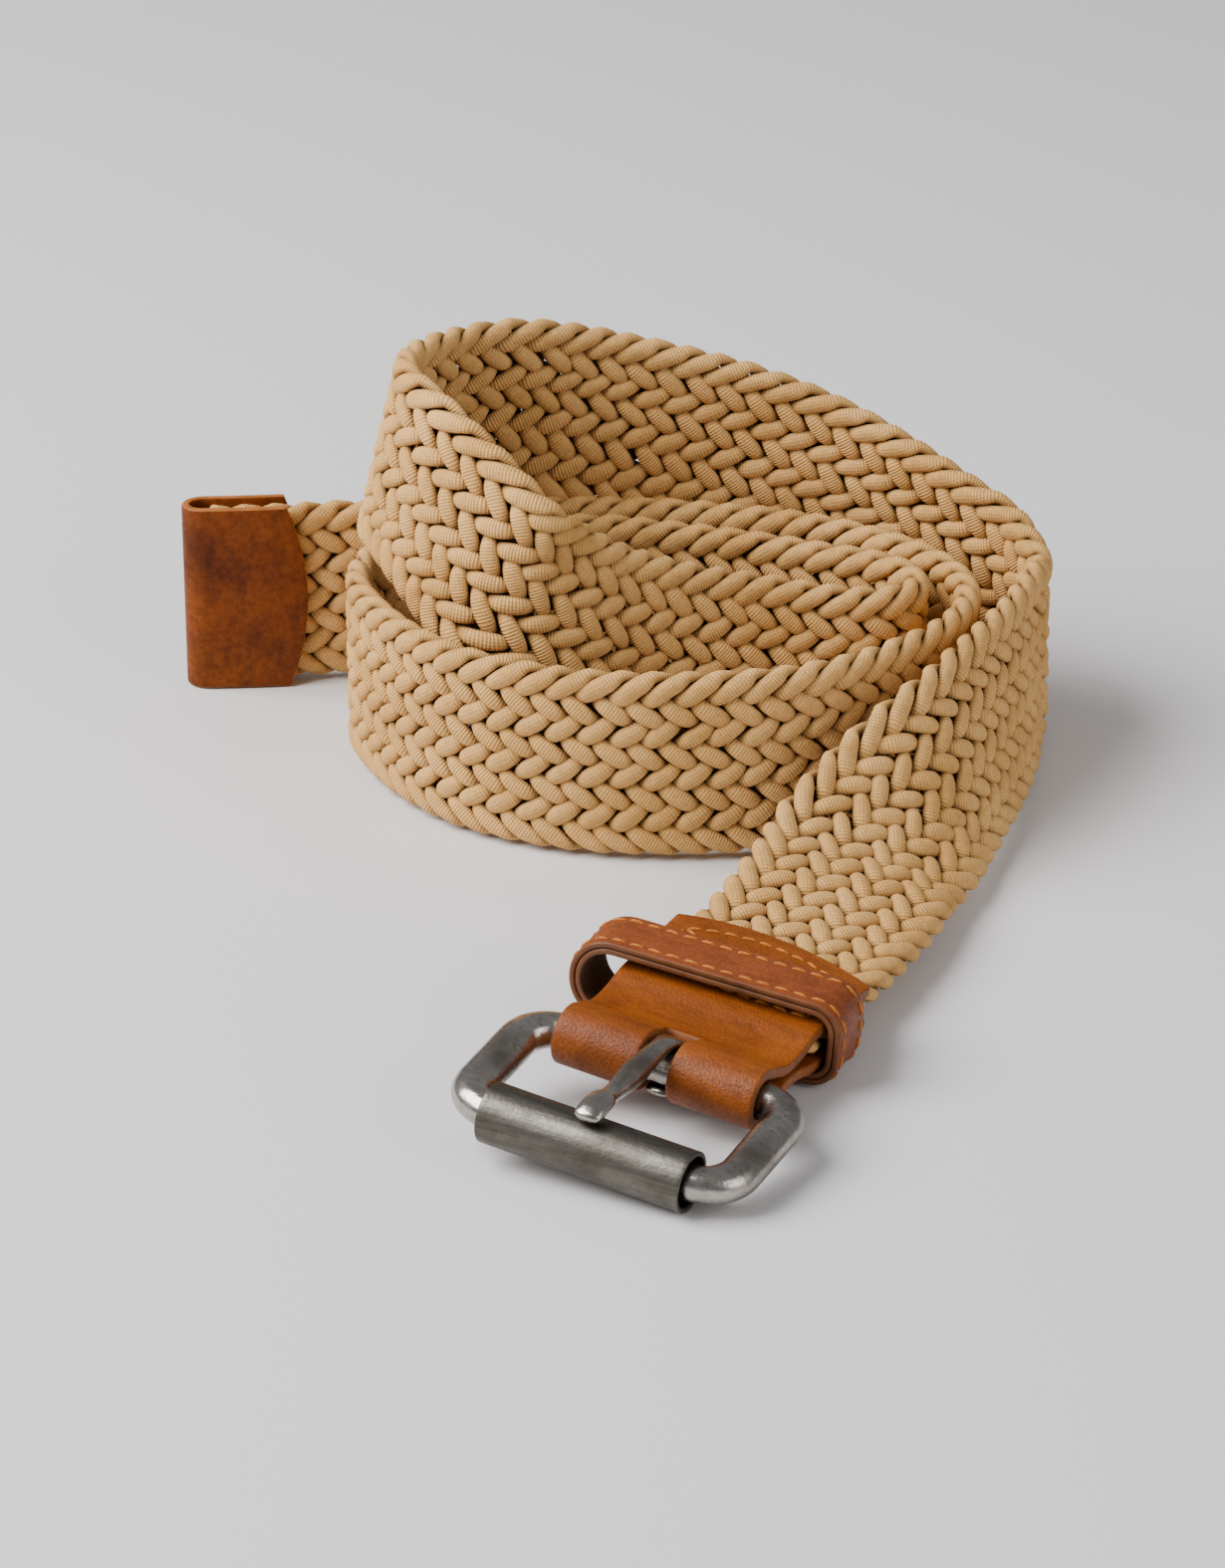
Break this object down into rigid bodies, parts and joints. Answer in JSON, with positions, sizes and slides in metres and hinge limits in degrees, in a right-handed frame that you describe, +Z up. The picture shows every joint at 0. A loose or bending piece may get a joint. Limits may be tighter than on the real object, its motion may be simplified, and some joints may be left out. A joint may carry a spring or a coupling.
{
  "type": "braided belt with roller buckle",
  "caption": "Braided stretch-cord belt, coiled on its edge, with a stitched leather tab, a sliding keeper, a tip cover and a roller buckle with prong.",
  "frame": {"origin": "middle of the belt's bounding box, on the surface it stands on", "axes": "+Z up; the buckle lies towards -Y and the tip points towards -X"},
  "size_m": [0.167, 0.2266, 0.0769],
  "materials": {
    "braided_strap": "matte braided cord",
    "buckle_tab": "smooth waxed",
    "tab_stitching_top": "waxed thread",
    "tab_stitching_under": "waxed thread",
    "tip_cover": "smooth waxed",
    "keeper_lining": "flesh side, matte",
    "keeper_face": "smooth, painted edges",
    "keeper_stitching_front": "waxed thread",
    "keeper_stitching_rear": "waxed thread",
    "buckle_frame": "antique, worn",
    "roller": "antique, worn",
    "prong": "antique, worn"
  },
  "bodies": {
    "belt": {"braided_strap": "braided_strap", "buckle_tab": "buckle_tab", "tab_stitching_top": "tab_stitching_top", "tab_stitching_under": "tab_stitching_under", "tip_cover": "tip_cover"},
    "keeper": {"keeper_lining": "keeper_lining", "keeper_face": "keeper_face", "keeper_stitching_front": "keeper_stitching_front", "keeper_stitching_rear": "keeper_stitching_rear"},
    "frame": {"buckle_frame": "buckle_frame"},
    "prong": {"prong": "prong"},
    "roller": {"roller": "roller"}
  },
  "joints": [
    {"name": "keeper_slide", "type": "slide", "parent": "belt", "child": "keeper", "axis": [0.47, 0.8826, -0.0036], "range_m": [-0.0025, 0.002]},
    {"name": "frame_swing", "type": "hinge", "parent": "belt", "child": "frame", "pos_m": [0.00834, -0.07767, 0.01], "axis": [-0.877, 0.4724, 0.0872], "range_deg": [-80, 30]},
    {"name": "prong_swing", "type": "hinge", "parent": "frame", "child": "prong", "pos_m": [0.00834, -0.07767, 0.01], "axis": [-0.877, 0.4724, 0.0872], "range_deg": [0, 60]},
    {"name": "roller_spin", "type": "hinge", "parent": "frame", "child": "roller", "pos_m": [-0.0039, -0.09984, 0.00703], "axis": [-0.877, 0.4724, 0.0872], "continuous": true}
  ]
}
